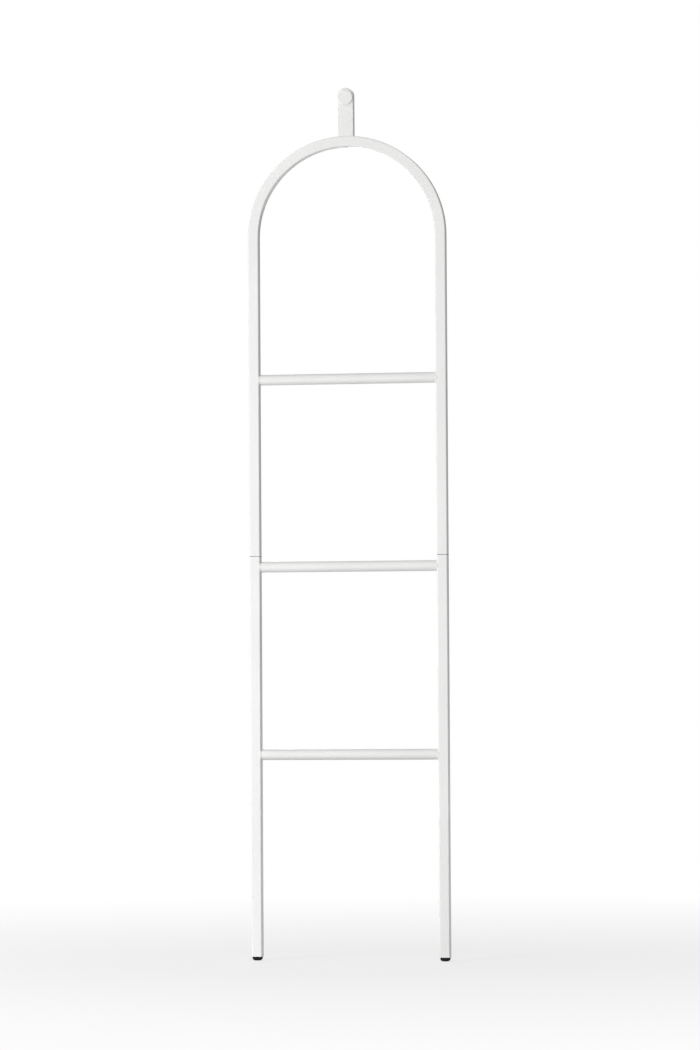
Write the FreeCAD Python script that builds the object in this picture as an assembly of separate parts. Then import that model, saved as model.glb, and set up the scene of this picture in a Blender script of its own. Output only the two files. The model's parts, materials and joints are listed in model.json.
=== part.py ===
"""Arched towel and blanket ladder: a bent square-tube hoop on two legs, three welded rungs and a hook post.

Millimetres. X runs across the ladder, the front faces -Y, and Z runs up the ladder from the floor.
"""

import FreeCAD, Part
import math
import os

from FreeCAD import Vector

# Overall sizes
outer_width = 410.0
arch_top_height = 1686.0
lower_rung_height = 420.0
rung_pitch = 384.0
joint_above_middle_rung = 22.0

# Frame tube
tube_size = 22.0
tube_wall = 1.2
tube_corner_radius = 2.5
tube_end_chamfer = 0.5

# Rungs
rung_diameter = 22.0
rung_wall = 1.0
rung_end_reach = 2.0

# Joint between hoop and leg
sleeve_length = 120.0
sleeve_wall = 1.5
sleeve_clearance = 0.1
joint_screw_above_joint = 32.0
joint_screw_diameter = 5.0
joint_screw_length = 12.0
joint_screw_head_diameter = 9.5
joint_screw_head_height = 2.7
joint_screw_socket = 3.0
nut_across_flats = 8.0
nut_height = 4.0

# Button-head screws, as shares of the head's height
screw_crown_share = 0.6
screw_socket_share = 0.6

# Hook
post_width = 32.0
post_depth = 18.0
post_rise = 99.0
post_edge_radius = 1.5
button_radius = 15.0
button_thickness = 4.0
button_edge_radius = 1.2
button_drop = 3.5
button_stud_diameter = 8.0
button_stud_length = 8.0
hook_screw_diameter = 5.0
hook_screw_length = 16.0
hook_screw_head_diameter = 9.6
hook_screw_head_rim = 0.3
hook_screw_socket = 3.0
hook_screw_socket_depth = 1.9
post_spigot_diameter = 12.0

# Wall pad on the back of the hook post
pad_diameter = 16.0
pad_thickness = 3.0
pad_edge_radius = 1.0
pad_stem_diameter = 6.0
pad_stem_length = 6.0

# Feet
foot_height = 8.0
foot_inset = 1.0
foot_corner_radius = 6.0
foot_sole_radius = 5.5
spigot_length = 28.0
spigot_ridge_count = 3
spigot_ridge_height = 3.0
spigot_ridge_depth = 0.4

# Fits
thread_clearance = 0.05
screw_hole_clearance = 0.25
push_fit_clearance = 0.05
blind_hole_relief = 1.0


# Places that follow from the sizes above
stile_x = (outer_width - tube_size) / 2
spring_height = arch_top_height - outer_width / 2
middle_rung_height = lower_rung_height + rung_pitch
upper_rung_height = middle_rung_height + rung_pitch
joint_height = middle_rung_height + joint_above_middle_rung
arch_underside = arch_top_height - tube_size
bore_size = tube_size - 2 * tube_wall
bore_corner_radius = tube_corner_radius - tube_wall
post_top = arch_top_height + post_rise
post_centre_height = post_top - post_width / 2

UP = Vector(0, 0, 1)
RIGHT = Vector(1, 0, 0)
BACK = Vector(0, 1, 0)


def rounded_square(size, radius, x=0.0, z=0.0):
    """A horizontal square face with rounded corners, centred on (x, 0, z)."""
    half = size / 2
    mid = half - radius * (1 - math.sqrt(0.5))
    flat = half - radius
    edges = []
    for turn in range(4):
        spin = FreeCAD.Rotation(UP, 90 * turn)
        spot = [
            Vector(half, -flat, 0),
            Vector(half, flat, 0),
            Vector(mid, mid, 0),
            Vector(flat, half, 0),
        ]
        start, end, bend, leave = [spin.multVec(p) + Vector(x, 0, z) for p in spot]
        edges.append(Part.LineSegment(start, end).toShape())
        edges.append(Part.Arc(end, bend, leave).toShape())
    return Part.Face(Part.Wire(edges))


def square_bar(size, radius, low, high, x=0.0):
    return rounded_square(size, radius, x, low).extrude(UP * (high - low))


def square_tube(size, radius, wall, low, high, x=0.0):
    outside = square_bar(size, radius, low, high, x)
    return outside.cut(square_bar(size - 2 * wall, radius - wall, low, high, x))


def hexagon(across_flats, height, base, axis):
    """A hexagonal prism that starts at base and runs along axis."""
    corners = [
        Vector(across_flats / math.sqrt(3) * math.cos(a), across_flats / math.sqrt(3) * math.sin(a), 0)
        for a in (math.radians(60 * k) for k in range(7))
    ]
    prism = Part.Face(Part.makePolygon(corners)).extrude(UP * height)
    prism.Placement = FreeCAD.Placement(base, FreeCAD.Rotation(UP, axis))
    return prism


def rim(shape, axis, level):
    """The outer edges of the flat face that looks along axis or against it and lies at level."""
    for face in shape.Faces:
        flat = isinstance(face.Surface, Part.Plane)
        if flat and abs(abs(face.normalAt(0, 0).dot(axis)) - 1) < 1e-6:
            if abs(face.CenterOfMass.dot(axis) - level) < 1e-6:
                return face.OuterWire.Edges
    raise ValueError("no flat face at that level")


def button_screw(seat, axis, diameter, length, head_diameter, head_height, socket):
    """A button-head screw whose head sits on seat and whose shank runs along axis."""
    top = seat - axis * head_height
    head = Part.makeCylinder(head_diameter / 2, head_height, top, axis)
    head = head.makeFillet(head_height * screw_crown_share, rim(head, axis, top.dot(axis)))
    shank = Part.makeCylinder(diameter / 2, length, seat, axis)
    recess = hexagon(socket, head_height * screw_socket_share, top, axis)
    return head.fuse(shank).removeSplitter().cut(recess)


def make_stile_blank(x):
    """The stile's full outline, with no bore, for shaping what meets it."""
    return square_bar(tube_size, tube_corner_radius, 0, spring_height, x)


def joint_screw_seat(x):
    return Vector(x, tube_size / 2, joint_height + joint_screw_above_joint)


def make_hoop():
    section = rounded_square(tube_size, tube_corner_radius, stile_x, spring_height).cut(
        rounded_square(bore_size, bore_corner_radius, stile_x, spring_height)
    )
    bend = section.Faces[0].revolve(Vector(0, 0, spring_height), -BACK, 180)
    hoop = bend
    for x in (-stile_x, stile_x):
        stile = square_tube(tube_size, tube_corner_radius, tube_wall, joint_height, spring_height, x)
        stile = stile.makeChamfer(tube_end_chamfer, rim(stile, UP, joint_height))
        hoop = hoop.fuse(stile)
    for x in (-stile_x, stile_x):
        hole_radius = joint_screw_diameter / 2 + screw_hole_clearance
        hoop = hoop.cut(Part.makeCylinder(hole_radius, tube_size / 2, joint_screw_seat(x), -BACK))
    hole_radius = post_spigot_diameter / 2 + push_fit_clearance
    spigot_hole = Part.makeCylinder(hole_radius, tube_size / 2, Vector(0, 0, arch_top_height), -UP)
    way_in = hook_screw_diameter / 2 + screw_hole_clearance
    screw_seat = countersunk_turning(thread_clearance, way_in, -tube_wall, tube_size / 2)
    return hoop.cut(screw_seat).cut(spigot_hole)


def make_leg(x):
    leg = square_tube(tube_size, tube_corner_radius, tube_wall, foot_height, joint_height, x)
    return leg.makeChamfer(tube_end_chamfer, rim(leg, UP, joint_height))


def make_rung(height):
    reach = stile_x - tube_size / 2 + rung_end_reach
    start = Vector(-reach, 0, height)
    rung = Part.makeCylinder(rung_diameter / 2, 2 * reach, start, RIGHT)
    rung = rung.cut(Part.makeCylinder(rung_diameter / 2 - rung_wall, 2 * reach, start, RIGHT))
    for x in (-stile_x, stile_x):
        rung = rung.cut(make_stile_blank(x))
    return rung


def make_joint_sleeve(x):
    size = bore_size - 2 * sleeve_clearance
    low = joint_height - sleeve_length / 2
    sleeve = square_tube(size, sleeve_wall + sleeve_clearance, sleeve_wall, low, low + sleeve_length, x)
    hole_radius = joint_screw_diameter / 2 + screw_hole_clearance
    return sleeve.cut(Part.makeCylinder(hole_radius, tube_size / 2, joint_screw_seat(x), -BACK))


def make_joint_nut(x):
    depth = tube_wall + sleeve_clearance + sleeve_wall
    base = joint_screw_seat(x) - BACK * depth
    nut = hexagon(nut_across_flats, nut_height, base, -BACK)
    thread_radius = joint_screw_diameter / 2 + thread_clearance
    return nut.cut(Part.makeCylinder(thread_radius, nut_height, base, -BACK))


def make_joint_screw(x):
    return button_screw(
        joint_screw_seat(x),
        -BACK,
        joint_screw_diameter,
        joint_screw_length,
        joint_screw_head_diameter,
        joint_screw_head_height,
        joint_screw_socket,
    )


def arch_cylinder(radius):
    return Part.makeCylinder(radius, 2 * tube_size, Vector(0, -tube_size, spring_height), BACK)


def countersunk_turning(spread, shank_radius, low, high):
    """The hook screw's outline turned about its axis, wider all round by spread, from low to high."""
    head_radius = hook_screw_head_diameter / 2 + spread
    cone_top = hook_screw_head_rim + head_radius - shank_radius
    outline = [
        Vector(0, 0, low),
        Vector(head_radius, 0, low),
        Vector(head_radius, 0, hook_screw_head_rim),
        Vector(shank_radius, 0, cone_top),
        Vector(shank_radius, 0, high),
        Vector(0, 0, high),
        Vector(0, 0, low),
    ]
    turned = Part.Face(Part.makePolygon(outline)).revolve(Vector(0, 0, 0), UP, 360)
    # Turned faces cut the arch cleanly only when their seam lies off its middle plane
    turned.rotate(Vector(0, 0, 0), UP, 45)
    turned.translate(UP * arch_underside)
    return turned


def make_hook_post():
    """A round-topped post on the arch, with a spigot that reaches through the tube to its bottom wall."""
    half = post_width / 2
    low = arch_top_height - tube_size
    front = -post_depth / 2
    path = [
        Part.LineSegment(Vector(half, front, post_centre_height), Vector(half, front, low)).toShape(),
        Part.LineSegment(Vector(half, front, low), Vector(-half, front, low)).toShape(),
        Part.LineSegment(Vector(-half, front, low), Vector(-half, front, post_centre_height)).toShape(),
        Part.Arc(
            Vector(-half, front, post_centre_height),
            Vector(0, front, post_top),
            Vector(half, front, post_centre_height),
        ).toShape(),
    ]
    post = Part.Face(Part.Wire(path)).extrude(BACK * post_depth)
    post = post.makeFillet(post_edge_radius, rim(post, BACK, front) + rim(post, BACK, -front))
    post = post.cut(arch_cylinder(outer_width / 2))
    spigot_foot = Vector(0, 0, arch_underside)
    spigot = Part.makeCylinder(post_spigot_diameter / 2, tube_size + tube_wall, spigot_foot, UP)
    spigot = spigot.cut(arch_cylinder(outer_width / 2 - tube_size + tube_wall))
    thread_radius = hook_screw_diameter / 2 + thread_clearance
    hole_depth = hook_screw_length + blind_hole_relief
    threaded_hole = countersunk_turning(thread_clearance, thread_radius, 0, hole_depth)
    stud_hole = Part.makeCylinder(
        button_stud_diameter / 2 + push_fit_clearance,
        button_stud_length + blind_hole_relief,
        Vector(0, front, post_centre_height - button_drop),
        BACK,
    )
    stem_hole = Part.makeCylinder(
        pad_stem_diameter / 2 + push_fit_clearance,
        pad_stem_length + blind_hole_relief,
        Vector(0, -front, post_centre_height),
        -BACK,
    )
    post = post.fuse(spigot).removeSplitter()
    return post.cut(threaded_hole).cut(stud_hole).cut(stem_hole)


def make_hook_button():
    seat = Vector(0, -post_depth / 2, post_centre_height - button_drop)
    button = Part.makeCylinder(button_radius, button_thickness, seat, -BACK)
    button = button.makeFillet(button_edge_radius, rim(button, BACK, -post_depth / 2 - button_thickness))
    return button.fuse(Part.makeCylinder(button_stud_diameter / 2, button_stud_length, seat, BACK))


def make_wall_pad():
    seat = Vector(0, post_depth / 2, post_centre_height)
    pad = Part.makeCylinder(pad_diameter / 2, pad_thickness, seat, BACK)
    pad = pad.makeFillet(pad_edge_radius, rim(pad, BACK, post_depth / 2 + pad_thickness))
    return pad.fuse(Part.makeCylinder(pad_stem_diameter / 2, pad_stem_length, seat, -BACK))


def make_hook_screw():
    """A countersunk screw, flush with the arch's underside, up into the post's spigot."""
    screw = countersunk_turning(0, hook_screw_diameter / 2, 0, hook_screw_length)
    base = Vector(0, 0, arch_underside)
    return screw.cut(hexagon(hook_screw_socket, hook_screw_socket_depth, base, UP))


def make_foot(x):
    """A rubber foot: a rounded pad under the tube and a ridged spigot inside it."""
    pad = square_bar(tube_size - 2 * foot_inset, foot_corner_radius, 0, foot_height, x)
    pad = pad.makeFillet(foot_sole_radius, rim(pad, UP, 0))
    ridge_size = bore_size - 2 * push_fit_clearance
    core_size = ridge_size - 2 * spigot_ridge_depth
    foot = pad.fuse(square_bar(core_size, bore_corner_radius, foot_height, foot_height + spigot_length, x))
    pitch = spigot_length / spigot_ridge_count
    for ridge in range(spigot_ridge_count):
        low = foot_height + ridge * pitch
        foot = foot.fuse(square_bar(ridge_size, bore_corner_radius, low, low + spigot_ridge_height, x))
    return foot.removeSplitter()


parts = {
    "upper_hoop": make_hoop(),
    "lower_rung": make_rung(lower_rung_height),
    "middle_rung": make_rung(middle_rung_height),
    "upper_rung": make_rung(upper_rung_height),
    "hook_post": make_hook_post(),
    "hook_button": make_hook_button(),
    "hook_screw": make_hook_screw(),
    "wall_pad": make_wall_pad(),
}
for side, x in (("left", -stile_x), ("right", stile_x)):
    parts[side + "_leg"] = make_leg(x)
    parts[side + "_joint_sleeve"] = make_joint_sleeve(x)
    parts[side + "_joint_screw"] = make_joint_screw(x)
    parts[side + "_joint_nut"] = make_joint_nut(x)
    parts[side + "_foot"] = make_foot(x)

os.makedirs("parts", exist_ok=True)
for name, shape in parts.items():
    shape.exportStep("parts/" + name + ".step")
    print(name, len(shape.Solids), "solid", round(shape.Volume), "mm3", shape.isValid())
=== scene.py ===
import json
from math import cos, pi, radians, sin, sqrt, tau

import bmesh
import bpy
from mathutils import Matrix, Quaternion, Vector, noise


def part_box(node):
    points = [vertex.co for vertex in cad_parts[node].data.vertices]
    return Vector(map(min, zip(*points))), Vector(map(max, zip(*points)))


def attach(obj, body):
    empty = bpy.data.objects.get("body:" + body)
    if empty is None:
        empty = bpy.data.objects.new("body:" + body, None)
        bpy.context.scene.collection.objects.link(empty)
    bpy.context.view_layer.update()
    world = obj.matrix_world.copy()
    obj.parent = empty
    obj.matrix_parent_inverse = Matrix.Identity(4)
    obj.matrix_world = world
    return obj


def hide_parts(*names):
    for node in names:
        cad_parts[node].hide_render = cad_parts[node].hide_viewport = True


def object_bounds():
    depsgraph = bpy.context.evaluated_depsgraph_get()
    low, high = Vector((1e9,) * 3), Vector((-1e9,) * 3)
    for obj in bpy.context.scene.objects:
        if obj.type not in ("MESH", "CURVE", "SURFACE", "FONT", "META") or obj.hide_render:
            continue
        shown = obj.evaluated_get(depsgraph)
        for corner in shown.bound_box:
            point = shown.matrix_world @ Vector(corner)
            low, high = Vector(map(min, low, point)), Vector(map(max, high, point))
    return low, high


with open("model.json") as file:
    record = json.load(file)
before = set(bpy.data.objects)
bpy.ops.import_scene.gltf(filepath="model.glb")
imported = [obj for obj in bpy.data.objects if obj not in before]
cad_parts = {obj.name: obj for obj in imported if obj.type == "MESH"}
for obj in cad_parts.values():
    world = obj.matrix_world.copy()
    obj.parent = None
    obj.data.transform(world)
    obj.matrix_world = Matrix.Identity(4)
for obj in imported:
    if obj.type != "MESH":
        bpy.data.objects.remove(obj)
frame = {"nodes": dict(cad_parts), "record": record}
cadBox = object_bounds()
print("frame loaded:", len(frame["nodes"]), "nodes")


class Signal:
    # one shader value: arithmetic written on it adds Math nodes
    def __init__(self, finish, socket):
        self.finish = finish
        self.socket = socket

    def math(self, operation, first, second):
        return self.finish.node("ShaderNodeMath", {"operation": operation}, {0: first, 1: second})

    def __add__(self, other):
        return self.math("ADD", self, other)

    def __radd__(self, other):
        return self.math("ADD", other, self)

    def __sub__(self, other):
        return self.math("SUBTRACT", self, other)

    def __rsub__(self, other):
        return self.math("SUBTRACT", other, self)

    def __mul__(self, other):
        return self.math("MULTIPLY", self, other)

    def __rmul__(self, other):
        return self.math("MULTIPLY", other, self)


class Finish:
    # the nodes of one material, or of the studio's sky
    def __init__(self, owner):
        owner.use_nodes = True
        self.owner = owner
        self.tree = owner.node_tree
        self.tree.nodes.clear()

    def node(self, kind, settings=None, inputs=None, output=0):
        made = self.tree.nodes.new(kind)
        for key, value in (settings or {}).items():
            if key == "stops":
                self.setStops(made.color_ramp, value)
            else:
                setattr(made, key, value)
        for key, value in (inputs or {}).items():
            if isinstance(value, Signal):
                self.tree.links.new(value.socket, made.inputs[key])
            else:
                made.inputs[key].default_value = value
        return Signal(self, made.outputs[output]) if len(made.outputs) else None

    def setStops(self, ramp, stops):
        while len(ramp.elements) < len(stops):
            ramp.elements.new(0.5)
        for element, (position, level) in zip(ramp.elements, stops):
            element.position = position
            element.color = (level, level, level, 1)

    def place(self):
        # where the point lies on its own piece, in metres
        return self.node("ShaderNodeTexCoord", output="Object")

    def cloud(self, scale, detail=2.0, rough=0.5):
        inputs = {"Vector": self.place(), "Scale": scale, "Detail": detail, "Roughness": rough}
        return self.node("ShaderNodeTexNoise", {}, inputs)

    def cells(self, scale, output="Distance"):
        inputs = {"Vector": self.place(), "Scale": scale}
        return self.node("ShaderNodeTexVoronoi", {}, inputs, output)

    def between(self, value, span, start=0, end=1):
        # goes from start to end as the value crosses the span
        stops = ((span[0], start), (span[1], end))
        return self.node("ShaderNodeValToRGB", {"stops": stops}, {"Fac": value})

    def blend(self, mask, first, second):
        return self.node("ShaderNodeMix", {"data_type": "RGBA"}, {0: mask, 6: first, 7: second}, 2)

    def edge(self, radius, gain):
        # 0 on flat faces, rising to 1 where the surface turns within this radius
        rounded = self.node("ShaderNodeBevel", {"samples": 4}, {"Radius": radius})
        facing = self.node("ShaderNodeNewGeometry", output="Normal")
        settings = {"operation": "DOT_PRODUCT"}
        alike = self.node("ShaderNodeVectorMath", settings, {0: rounded, 1: facing}, "Value")
        return self.between((1 - alike) * gain, (0, 1))

    def bump(self, height, distance, beneath=None):
        inputs = {"Height": height, "Distance": distance}
        if beneath:
            inputs["Normal"] = beneath
        return self.node("ShaderNodeBump", {}, inputs)

    def shade(self, inputs):
        shader = self.node("ShaderNodeBsdfPrincipled", {}, inputs)
        self.node("ShaderNodeOutputMaterial", {}, {"Surface": shader})
        return self.owner


def warm(level, tint=0.0):
    return (level * (1 + tint), level, level * (1 - 2 * tint), 1)


powder = {
    "white": 0.86, "deepWhite": 0.825, "tint": 0.004,  # the coat's two close whites
    "patchScale": 5, "patchDetail": 3, "patchSpan": (0.35, 0.65),
    "speckScale": 1500, "speckSpan": (0.06, 0.11),  # dust caught in the coat
    "speckShade": 0.62, "speckTint": 0.01, "speckMix": 0.35,
    "clusterScale": 420, "clusterSpan": (0.6, 0.66),  # specks come in loose clusters
    "edgeRadius": 0.0012, "edgeGain": 1.6, "edgeShade": 0.80, "edgeTint": 0.006, "edgeMix": 0.5,
    "thinScale": 160, "thinDetail": 4, "thinSpan": (0.42, 0.72),  # where the edges' coat is thin
    "peelScale": 620, "peelDetail": 1.5, "peelRough": 0.4, "peelDepth": 0.000012,  # faint orange peel
    "grainScale": 2600, "grainDetail": 1, "grainDepth": 0.000004,
    "runScale": 46, "runDetail": 1, "runDepth": 0.00006,  # slow swells left by the spray
    "rough": 0.36, "roughSpread": 0.12, "roughScale": 372,
    "handledScale": 18, "handledDetail": 5, "handledRough": 0.6,  # duller where hands have been
    "handledSpan": (0.4, 0.7), "handledMix": 0.05,
    "specular": 0.5, "coat": 0.12, "coatSpread": 0.1, "coatRough": 0.22,
}


def makePowderCoat():
    f = Finish(bpy.data.materials.new("satinPowderCoat"))
    p = powder
    patches = f.between(f.cloud(p["patchScale"], p["patchDetail"]), p["patchSpan"])
    specks = f.between(f.cells(p["speckScale"]), p["speckSpan"], 1, 0)
    clusters = f.between(f.cloud(p["clusterScale"]), p["clusterSpan"])
    thin = f.between(f.cloud(p["thinScale"], p["thinDetail"]), p["thinSpan"])
    edges = f.edge(p["edgeRadius"], p["edgeGain"])
    colour = f.blend(patches, warm(p["white"], p["tint"]), warm(p["deepWhite"], p["tint"]))
    colour = f.blend(specks * clusters * p["speckMix"], colour, warm(p["speckShade"], p["speckTint"]))
    colour = f.blend(edges * thin * p["edgeMix"], colour, warm(p["edgeShade"], p["edgeTint"]))
    grain = f.cloud(p["grainScale"], p["grainDetail"])
    handled = f.cloud(p["handledScale"], p["handledDetail"], p["handledRough"])
    handled = f.between(handled, p["handledSpan"])
    rough = p["rough"] + (f.cloud(p["roughScale"]) - 0.5) * p["roughSpread"] + handled * p["handledMix"]
    peel = f.cloud(p["peelScale"], p["peelDetail"], p["peelRough"])
    normal = f.bump(f.cloud(p["runScale"], p["runDetail"]), p["runDepth"])
    normal = f.bump(peel, p["peelDepth"], normal)
    normal = f.bump(grain, p["grainDepth"], normal)
    return f.shade({
        "Base Color": colour,
        "Roughness": rough,
        "Normal": normal,
        "Specular IOR Level": p["specular"],
        "Coat Weight": p["coat"] + grain * p["coatSpread"],
        "Coat Roughness": p["coatRough"],
    })


rubber = {
    "black": 0.008, "dusty": 0.026, "dustTint": 0.01,
    "dustScale": 240, "dustDetail": 5, "dustRough": 0.65, "dustSpan": (0.48, 0.75), "dustMix": 0.5,
    "edgeRadius": 0.0008, "edgeGain": 1.5, "edgeMix": 0.4,  # rubbed paler along the edges
    "rough": 0.72, "roughSpread": 0.2, "shine": 0.18,
    "pitScale": 320, "pitDepth": 0.0001, "grainScale": 1900, "grainDepth": 0.00004,
}


def makeRubber():
    f = Finish(bpy.data.materials.new("mouldedBlackRubber"))
    r = rubber
    dust = f.between(f.cloud(r["dustScale"], r["dustDetail"], r["dustRough"]), r["dustSpan"])
    rub = f.edge(r["edgeRadius"], r["edgeGain"]) * r["edgeMix"]
    colour = f.blend(dust * r["dustMix"] + rub, warm(r["black"]), warm(r["dusty"], r["dustTint"]))
    grain = f.cloud(r["grainScale"])
    normal = f.bump(f.cloud(r["pitScale"]), r["pitDepth"])
    return f.shade({
        "Base Color": colour,
        "Roughness": r["rough"] + (grain - 0.5) * r["roughSpread"],
        "Normal": f.bump(grain, r["grainDepth"], normal),
        "Specular IOR Level": r["shine"],
    })


blackSteel = {
    "dark": 0.025, "light": 0.05, "worn": 0.11, "metal": 0.75, "rough": 0.42, "spangleScale": 900,
}
zincSteel = {
    "dark": 0.5, "light": 0.62, "worn": 0.75, "metal": 1.0, "rough": 0.34, "spangleScale": 420,
}
steel = {
    "toneShare": 0.4, "toneDetail": 4, "toneSpan": (0.3, 0.7),  # patches wider than the spangles
    "edgeRadius": 0.0004, "edgeGain": 2.0, "edgeMix": 0.6,
    "turnedScale": 2200, "turnedDepth": 0.00002, "turnedRough": 0.18, "spangleRough": 0.08,
}


def makeSteel(name, values):
    f = Finish(bpy.data.materials.new(name))
    spangle = f.cells(values["spangleScale"], "Color")
    tone = f.cloud(values["spangleScale"] * steel["toneShare"], steel["toneDetail"])
    colour = f.blend(f.between(tone, steel["toneSpan"]), warm(values["dark"]), warm(values["light"]))
    worn = f.edge(steel["edgeRadius"], steel["edgeGain"]) * steel["edgeMix"]
    turned = f.cloud(steel["turnedScale"])
    rough = values["rough"] + (turned - 0.5) * steel["turnedRough"]
    muted = f.blend(0.5, spangle, warm(0.5))
    return f.shade({
        "Base Color": f.blend(worn, colour, warm(values["worn"])),
        "Metallic": values["metal"],
        "Roughness": rough + (muted - 0.5) * steel["spangleRough"],
        "Normal": f.bump(turned, steel["turnedDepth"]),
    })


finishes = {
    "powder_coat": makePowderCoat(),
    "black_rubber": makeRubber(),
    "black_steel": makeSteel("blackOxideSteel", blackSteel),
    "plain_steel": makeSteel("zincPlatedSteel", zincSteel),
}
slotOf = {part["node"]: part["material_slot"] for part in frame["record"]["subparts"]}
for name, node in frame["nodes"].items():
    for place in node.material_slots:
        place.material = finishes[slotOf[name]]
print("finishes ready:", len(finishes))


# the frame's own sizes, from the CAD boxes
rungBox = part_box("lower_rung")
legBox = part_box("left_leg")
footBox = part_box("left_foot")
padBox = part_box("wall_pad")
tubeHalf = (legBox[1].x - legBox[0].x) / 2
stileX = -(legBox[1].x + legBox[0].x) / 2
rungRadius = (rungBox[1].z - rungBox[0].z) / 2
jointHeight = legBox[1].z
cornerRadius = 0.0025  # of the square tube
roundest = 0.98  # the most a corner may take of a half side


def finishPiece(name, mesh, slot, *replaced):
    piece = bpy.data.objects.new(name, mesh)
    bpy.context.scene.collection.objects.link(piece)
    mesh.materials.append(finishes[slot])
    mesh.shade_smooth()
    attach(piece, "root")
    if replaced:
        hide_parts(*replaced)


def loftRings(name, rings, closed=False):
    # joins each ring of points to the next, and the last to the first or a cap on each end
    made = bmesh.new()
    loops = [[made.verts.new(point) for point in ring] for ring in rings]
    pairs = list(zip(loops, loops[1:])) + ([(loops[-1], loops[0])] if closed else [])
    for low, high in pairs:
        for k in range(len(low)):
            n = (k + 1) % len(low)
            made.faces.new((low[k], low[n], high[n], high[k]))
    if not closed:
        made.faces.new(list(reversed(loops[0])))
        made.faces.new(loops[-1])
    bmesh.ops.recalc_face_normals(made, faces=made.faces)
    mesh = bpy.data.meshes.new(name)
    made.to_mesh(mesh)
    made.free()
    return mesh


creaseAngle = radians(50)


def sharpen(mesh):
    # keeps edges crisp where faces meet at more than the crease angle
    made = bmesh.new()
    made.from_mesh(mesh)
    for edge in made.edges:
        if len(edge.link_faces) == 2 and edge.calc_face_angle() > creaseAngle:
            edge.smooth = False
    made.to_mesh(mesh)
    made.free()


def squareLoop(x, z, half, radius, steps=7):
    # a level square with rounded corners, centred on (x, 0, z)
    radius = min(radius, half * roundest)
    points = []
    for corner in range(4):
        for step in range(steps + 1):
            turn = (corner + step / steps) * pi / 2
            middle = (corner + 0.5) * pi / 2
            across = (half - radius) * sqrt(2)
            points.append(Vector((
                x + across * cos(middle) + radius * cos(turn),
                across * sin(middle) + radius * sin(turn),
                z,
            )))
    return points


# weld beads, where each rung's end meets the stiles
weld = {
    "bead": 0.0013, "inset": 0.0002, "around": 144, "section": 14,
    "ripples": 52, "ripple": 0.05,  # the torch's even steps
    "wobble": 0.12, "wobbleSide": 3, "wobbleRise": 40, "wobbleTurn": 2.2,  # and its uneven hand
}


def stileSurface(y):
    # how far the stile's side falls back from its flat at this depth
    beyond = max(abs(y) - (tubeHalf - cornerRadius), 0)
    return cornerRadius - sqrt(max(cornerRadius**2 - beyond**2, 0))


def makeWeld(name, height, side):
    face = stileX - tubeHalf
    rings = []
    for k in range(weld["around"]):
        turn = tau * k / weld["around"]
        outward = Vector((0, sin(turn), cos(turn)))
        middle = outward * (rungRadius - weld["inset"])
        middle.x = side * (face + stileSurface(middle.y) - weld["inset"])
        middle.z += height
        hand = Vector((side * weld["wobbleSide"], height * weld["wobbleRise"], 0))
        hand.z = turn * weld["wobbleTurn"]
        ripple = weld["ripple"] * sin(weld["ripples"] * turn)
        bead = weld["bead"] * (1 + ripple + weld["wobble"] * noise.noise(hand))
        ring = []
        for s in range(weld["section"]):
            spin = tau * s / weld["section"]
            ring.append(middle + outward * (bead * cos(spin)) + Vector((bead * sin(spin), 0, 0)))
        rings.append(ring)
    finishPiece(name, loftRings(name, rings, closed=True), "powder_coat")


for rung in ("lower_rung", "middle_rung", "upper_rung"):
    low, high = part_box(rung)
    for word, side in (("left", -1), ("right", 1)):
        makeWeld(rung + "_" + word + "_weld", (low.z + high.z) / 2, side)
print("rung welds made")


# painted shade: a thin black ring between each leg and the hoop, just below the rims of their two
# chamfers, standing in for the shadow in the groove there
grooveShade = {"height": 0.00092, "depth": 0.00004, "inner": 0.0008, "soften": 0.00008}


def makeGrooveShade(name, x):
    outer = tubeHalf - grooveShade["depth"]
    half = grooveShade["height"] / 2
    profile = [
        (tubeHalf - grooveShade["inner"], -half),
        (outer - grooveShade["soften"], -half),
        (outer, -half + grooveShade["soften"]),
        (outer, half - grooveShade["soften"]),
        (outer - grooveShade["soften"], half),
        (tubeHalf - grooveShade["inner"], half),
    ]
    inset = cornerRadius - tubeHalf
    rings = [squareLoop(x, jointHeight + z, reach, inset + reach) for reach, z in profile]
    # the black finish paints the groove's shadow as a dark line
    finishPiece(name, loftRings(name, rings, closed=True), "black_rubber")


makeGrooveShade("left_joint_groove_shade", -stileX)
makeGrooveShade("right_joint_groove_shade", stileX)
print("joint groove_shades made")


# rubber feet: a bowl with a grooved sole, a mould line and a ridged spigot
foot = {
    "soleRadius": 0.0055, "bodyTop": 0.008, "corner": 0.006, "bendSteps": 12, "cornerSteps": 9,
    "grooves": ((0.28, 0.44), (0.56, 0.72)), "grooveDepth": 0.0007,  # shares of the sole's flat
    "mouldLine": 0.0064, "mouldProud": 0.00012, "soften": 0.0003, "centre": 0.0004,
    "spigotInset": 0.00125, "spigotCorner": 0.0013, "spigotTaper": 0.001,
    "ridges": 3, "ridgeTall": 0.003, "ridgeDeep": 0.0004, "ridgeGap": 0.0002,
}


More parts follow.
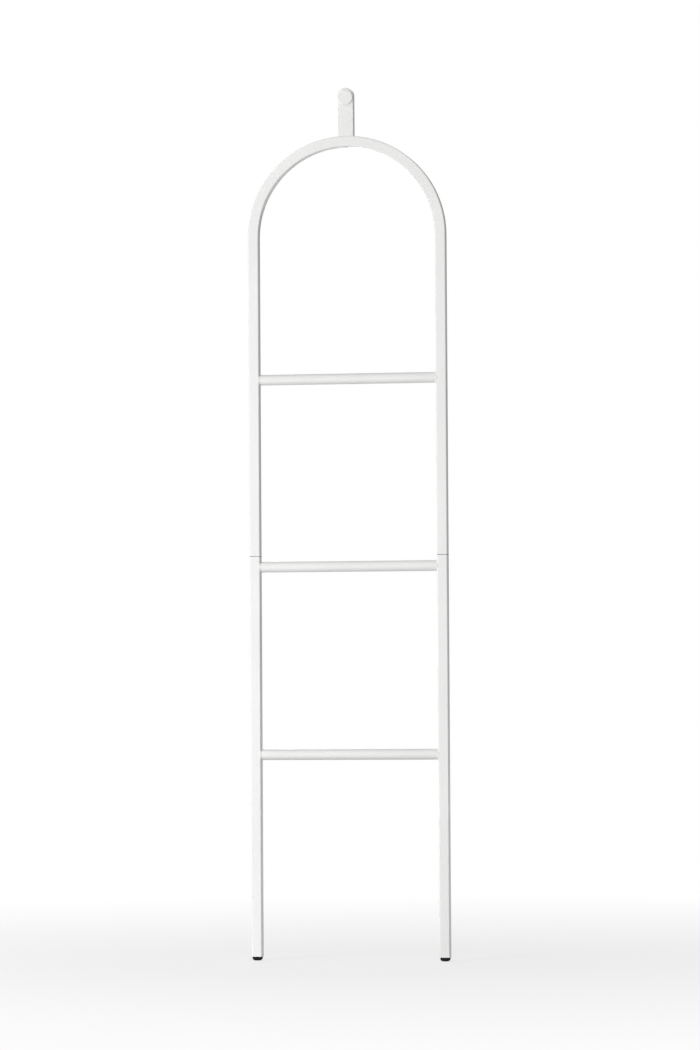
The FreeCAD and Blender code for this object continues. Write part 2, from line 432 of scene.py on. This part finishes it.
def footProfile(half, top):
    # pairs of half width and height, from the middle of the sole to the spigot's top
    bend = foot["soleRadius"]
    flat = half - bend
    deep = foot["grooveDepth"]
    soft = foot["soften"]
    rows = [(foot["centre"], deep)]
    for inner, outer in foot["grooves"]:
        rows += [(inner * flat, deep), (inner * flat + soft, 0.0)]
        rows += [(outer * flat, 0.0), (outer * flat + soft, deep)]
    rows += [(flat - soft, deep), (flat, 0.0)]
    for step in range(1, foot["bendSteps"] + 1):
        turn = step / foot["bendSteps"] * pi / 2
        rows.append((flat + bend * sin(turn), bend * (1 - cos(turn))))
    line = foot["mouldLine"]
    rows += [(half, line - soft), (half + foot["mouldProud"], line), (half, line + soft)]
    rows += [(half, foot["bodyTop"] - soft), (half - soft, foot["bodyTop"])]
    ridge = tubeHalf - foot["spigotInset"]
    core = ridge - foot["ridgeDeep"]
    pitch = (top - foot["bodyTop"]) / foot["ridges"]
    for count in range(foot["ridges"]):
        start = foot["bodyTop"] + count * pitch
        crest = start + foot["ridgeTall"]
        rows += [(ridge, start), (ridge, crest)]
        rows += [(core, crest + foot["ridgeDeep"]), (core, start + pitch - foot["ridgeGap"])]
    return rows + [(core - foot["spigotTaper"], top)]


def makeFoot(name, x, replaced):
    low, high = footBox
    half = (high.x - low.x) / 2
    rings = []
    for reach, z in footProfile(half, high.z):
        corner = foot["corner"] if z < foot["bodyTop"] else foot["spigotCorner"]
        rings.append(squareLoop(x, low.z + z, reach, corner, foot["cornerSteps"]))
    mesh = loftRings(name, rings)
    sharpen(mesh)
    finishPiece(name, mesh, "black_rubber", replaced)


makeFoot("left_rubber_foot", -stileX, "left_foot")
makeFoot("right_rubber_foot", stileX, "right_foot")
print("feet made")


# the wall pad: a turned rubber button with two shallow rings on the face that meets the wall
pad = {
    "stemRadius": 0.003, "stemDepth": 0.006, "stemSoften": 0.0004, "soften": 0.0003,
    "edge": 0.001, "edgeSteps": 8, "centre": 0.0006, "steps": 72,
    "rings": (0.65, 0.35), "ringWidth": 0.0008, "ringDepth": 0.0005,
}


def makeWallPad():
    low, high = padBox
    radius = (high.x - low.x) / 2
    back = high.y
    seat = low.y + pad["stemDepth"]
    centre = Vector(((low.x + high.x) / 2, 0, (low.z + high.z) / 2))
    stem, tip = pad["stemRadius"], pad["stemSoften"]
    rows = [(stem - tip, low.y), (stem, low.y + tip), (stem, seat)]
    rows += [(radius - pad["soften"], seat), (radius, seat + pad["soften"])]
    for step in range(pad["edgeSteps"] + 1):
        turn = step / pad["edgeSteps"] * pi / 2
        rows.append((radius - pad["edge"] * (1 - cos(turn)), back - pad["edge"] * (1 - sin(turn))))
    for share in pad["rings"]:
        middle = radius * share
        half = pad["ringWidth"] / 2
        floor = back - pad["ringDepth"]
        rows += [(middle + half, back), (middle + half / 2, floor)]
        rows += [(middle - half / 2, floor), (middle - half, back)]
    rows.append((pad["centre"], back))
    rings = []
    for reach, y in rows:
        turns = [tau * k / pad["steps"] for k in range(pad["steps"])]
        rings.append([centre + Vector((reach * cos(t), y, reach * sin(t))) for t in turns])
    mesh = loftRings("wall_pad_button", rings)
    sharpen(mesh)
    finishPiece("wall_pad_button", mesh, "black_rubber", "wall_pad")


makeWallPad()
print("wall pad made")


# floor, light and camera
studio = {
    "floorRings": (0.02, 0.3, 0.8, 1.6, 3.0, 8.0, 40.0), "floorSides": 96,
    "floorShade": 0.9, "fadeStart": 0.4, "fadeEnd": 2.6, "nearGlow": 0.66,
    "backdrop": 1.0, "ambient": 0.35,
}
lights = {
    "tallSoftbox": {"at": (-3.4, -4.6, 1.35), "aim": (0, 0, 1.0), "size": (1.8, 3.0), "power": 90},
    "overheadSoftbox": {"at": (-1.7, -1.6, 3.6), "aim": (0, 0, 1.0), "size": (1.8, 1.8), "power": 23},
    "bounceBoard": {"at": (-1.5, -1.6, 0.06), "aim": (0, 0, 1.2), "size": (1.8, 1.4), "power": 26.5},
    "rearSoftbox": {"at": (-1.6, 3.6, 1.4), "aim": (0, 0, 1.0), "size": (2.0, 2.6), "power": 48},
    "frontCard": {"at": (0.5, -5.5, 1.3), "aim": (0, 0, 1.0), "size": (1.6, 2.6), "power": 49},
}


def floorMaterial():
    # painted light: the floor glows, about two thirds emission under the ladder with the rest matt to
    # keep its shadows, and fully as bright as the backdrop further out
    f = Finish(bpy.data.materials.new("paleFloor"))
    reach = f.node("ShaderNodeVectorMath", {"operation": "LENGTH"}, {0: f.place()}, "Value")
    outward = (reach - studio["fadeStart"]) * (1 / (studio["fadeEnd"] - studio["fadeStart"]))
    far = f.between(outward, (0, 1), studio["nearGlow"], 1)
    matt = f.node("ShaderNodeBsdfDiffuse", {}, {"Color": warm(studio["floorShade"])})
    glow = {"Color": warm(1.0), "Strength": studio["backdrop"]}
    lit = f.node("ShaderNodeEmission", {}, glow)
    mixed = f.node("ShaderNodeMixShader", {}, {0: far, 1: matt, 2: lit})
    f.node("ShaderNodeOutputMaterial", {}, {"Surface": mixed})
    return f.owner


def makeFloor():
    turns = [tau * k / studio["floorSides"] for k in range(studio["floorSides"])]
    ground = cadBox[0].z
    made = bmesh.new()
    rings = []
    for reach in studio["floorRings"]:
        rings.append([made.verts.new((reach * cos(t), reach * sin(t), ground)) for t in turns])
    made.faces.new(rings[0])
    for inner, outer in zip(rings, rings[1:]):
        for k in range(len(turns)):
            n = (k + 1) % len(turns)
            made.faces.new((inner[k], outer[k], outer[n], inner[n]))
    mesh = bpy.data.meshes.new("floor")
    made.to_mesh(mesh)
    made.free()
    mesh.materials.append(floorMaterial())
    floor = bpy.data.objects.new("floor", mesh)
    bpy.context.scene.collection.objects.link(floor)
    floor.visible_diffuse = False


def makeSky():
    # the backdrop is bright to the camera and dimmer as a light
    f = Finish(bpy.data.worlds.new("studio"))
    seen = f.node("ShaderNodeLightPath", output="Is Camera Ray")
    shades = []
    for strength in (studio["ambient"], studio["backdrop"]):
        inputs = {"Color": warm(1.0), "Strength": strength}
        shades.append(f.node("ShaderNodeBackground", {}, inputs))
    mixed = f.node("ShaderNodeMixShader", {}, {0: seen, 1: shades[0], 2: shades[1]})
    f.node("ShaderNodeOutputWorld", {}, {"Surface": mixed})
    bpy.context.scene.world = f.owner


def makeLight(name, values):
    data = bpy.data.lights.new(name, "AREA")
    data.shape = "RECTANGLE"
    data.size, data.size_y = values["size"]
    data.energy = values["power"]
    light = bpy.data.objects.new(name, data)
    light.location = values["at"]
    light.visible_camera = False
    towards = Vector(values["aim"]) - light.location
    light.rotation_mode = "QUATERNION"
    light.rotation_quaternion = towards.to_track_quat("-Z", "Y")
    bpy.context.scene.collection.objects.link(light)


makeFloor()
makeSky()
for name, values in lights.items():
    makeLight(name, values)

camera = {
    "azimuth": 9.512, "elevation": -1.915, "distance": 8.909,  # degrees and metres from the aim
    "aim": (0.0028, -0.0039),  # across and up from the middle of the whole ladder
    "roll": 0.344, "lens": 149.4, "sensor": 36.0, "clip": (0.1, 100),
}


def makeCamera():
    data = bpy.data.cameras.new("camera")
    data.lens = camera["lens"]
    data.sensor_width = camera["sensor"]
    data.sensor_fit = "AUTO"
    data.clip_start, data.clip_end = camera["clip"]
    eye = bpy.data.objects.new("camera", data)
    turn, rise = radians(camera["azimuth"]), radians(camera["elevation"])
    back = Vector((sin(turn) * cos(rise), -cos(turn) * cos(rise), sin(rise)))
    middle = (cadBox[0] + cadBox[1]) / 2
    aim = Vector((middle.x + camera["aim"][0], 0, middle.z + camera["aim"][1]))
    eye.location = aim + back * camera["distance"]
    eye.rotation_mode = "QUATERNION"
    roll = Quaternion((0, 0, 1), radians(-camera["roll"]))
    eye.rotation_quaternion = (-back).to_track_quat("-Z", "Y") @ roll
    bpy.context.scene.collection.objects.link(eye)
    bpy.context.scene.camera = eye


makeCamera()
bpy.context.scene.view_settings.view_transform = "Standard"
print("studio ready")
